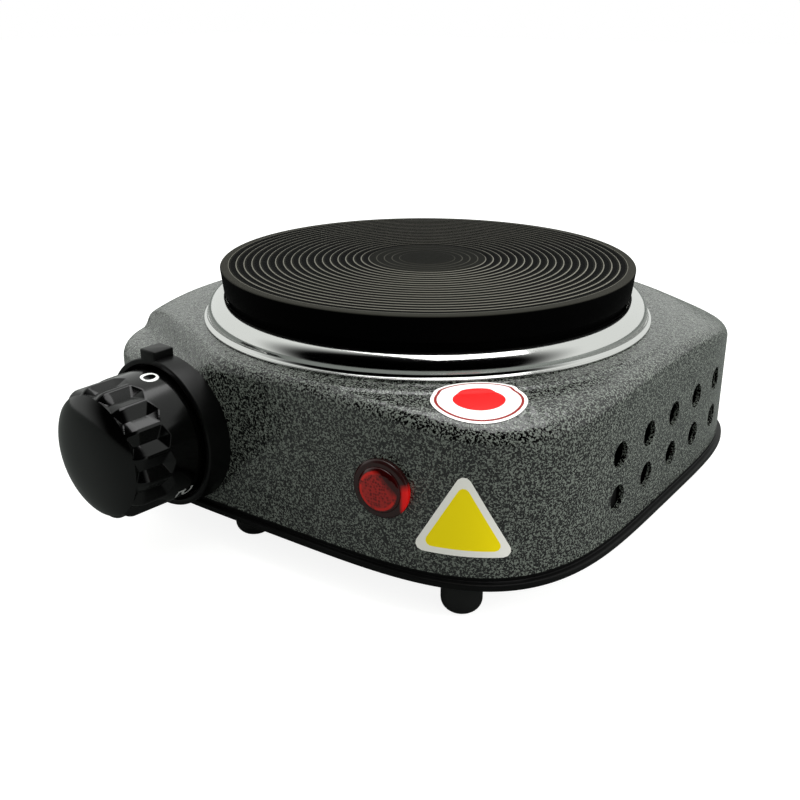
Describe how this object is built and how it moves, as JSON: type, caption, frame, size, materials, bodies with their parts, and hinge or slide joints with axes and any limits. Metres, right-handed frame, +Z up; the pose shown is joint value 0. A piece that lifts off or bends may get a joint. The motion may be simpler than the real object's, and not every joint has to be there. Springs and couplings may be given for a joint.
{
  "type": "hot plate burner",
  "caption": "Small single hot plate: grooved cast-iron plate in a bright ring on a squarish hammertone housing, with a turning heat knob, a red pilot lamp and feet.",
  "frame": {"origin": "on the table under the middle of the whole part, knob and gland included", "axes": "+Z up out of the cooking surface, +Y from the knob wall to the back wall, +X to the right seen from the front"},
  "size_m": [0.1314, 0.1583, 0.057],
  "materials": {
    "hammertone_paint": "grey-black hammertone paint on pressed steel, semi-gloss, fine light speckle",
    "black_paint": "black powder coat, semi-gloss",
    "black_rubber": "black rubber",
    "zinc_steel": "zinc-plated steel",
    "cast_iron": "dark grey cast iron with turned concentric grooves",
    "coil_alloy": "resistance alloy winding",
    "cement": "pressed insulating cement",
    "bright_steel": "mirror-bright rolled steel",
    "white_ceramic": "unglazed white ceramic",
    "brass": "brass",
    "spring_alloy": "copper alloy spring strip",
    "bimetal": "bimetal strip",
    "knob_plastic": "glossy black phenolic moulding",
    "bezel_plastic": "satin black plastic",
    "red_lens": "clear red polycarbonate",
    "bulb_glass": "neon bulb glass",
    "black_plastic": "black nylon",
    "wire_brown": "brown wire insulation",
    "wire_black": "black wire insulation",
    "wire_blue": "blue wire insulation",
    "wire_grey": "grey wire insulation",
    "wire_green": "green and yellow wire insulation",
    "label_white": "plain white and red paper label with no words or symbol",
    "label_yellow": "plain yellow paper label with a white border, no words or symbol"
  },
  "bodies": {
    "root": {"top_cover": "hammertone_paint", "base_plate": "black_paint", "feet": "black_rubber", "corner_brackets": "zinc_steel", "base_screws": "zinc_steel", "hot_plate": "cast_iron", "heating_coil": "coil_alloy", "insulating_cement": "cement", "backing_disc": "zinc_steel", "trim_ring": "bright_steel", "center_stud": "zinc_steel", "spacer_sleeve": "zinc_steel", "heat_shield": "zinc_steel", "mounting_bridge": "zinc_steel", "stud_washer": "zinc_steel", "stud_nut": "zinc_steel", "terminal_bushes": "white_ceramic", "plate_terminals": "brass", "thermostat_frame": "zinc_steel", "thermostat_bush": "brass", "bush_nut": "zinc_steel", "stack_insulators": "white_ceramic", "stack_rivet": "zinc_steel", "arm_terminal": "brass", "fixed_contact": "brass", "bimetal_strip": "bimetal", "bezel": "bezel_plastic", "lamp_lens": "red_lens", "lamp_plug": "white_ceramic", "lamp_retainer": "zinc_steel", "neon_bulb": "bulb_glass", "lamp_resistor": "white_ceramic", "cord_gland": "black_plastic", "gland_nut": "black_plastic", "terminal_block": "white_ceramic", "block_inserts": "brass", "block_screws": "zinc_steel", "earth_screw": "zinc_steel", "earth_nut": "zinc_steel", "earth_lug": "brass", "live_wire": "wire_brown", "load_wire": "wire_black", "neutral_wire": "wire_blue", "lamp_wires": "wire_grey", "earth_wire": "wire_green", "round_label": "label_white", "triangle_label": "label_yellow"},
    "dial": {"knob": "knob_plastic", "shaft": "zinc_steel"},
    "adjuster": {"adjuster_pin": "white_ceramic"},
    "contact": {"contact_arm": "spring_alloy"}
  },
  "joints": [
    {"name": "knob_turn", "type": "hinge", "parent": "root", "child": "dial", "pos_m": [-0.027, -0.05452, 0.0257], "axis": [0.0627, 0.998, 0], "range_deg": [0, 270]},
    {"name": "adjuster_slide", "type": "slide", "parent": "root", "child": "adjuster", "axis": [0.0627, 0.998, 0], "range_m": [0, 0.00041]},
    {"name": "contact_swing", "type": "hinge", "parent": "root", "child": "contact", "pos_m": [-0.02667, -0.04933, 0.0187], "axis": [-0.998, 0.0627, 0], "range_deg": [0, 3.3]}
  ],
  "couplings": [
    {"joint": "adjuster_slide", "follows": "knob_turn", "m_per_rad": 0.000084883},
    {"joint": "contact_swing", "follows": "knob_turn", "ratio": 0.012126}
  ]
}
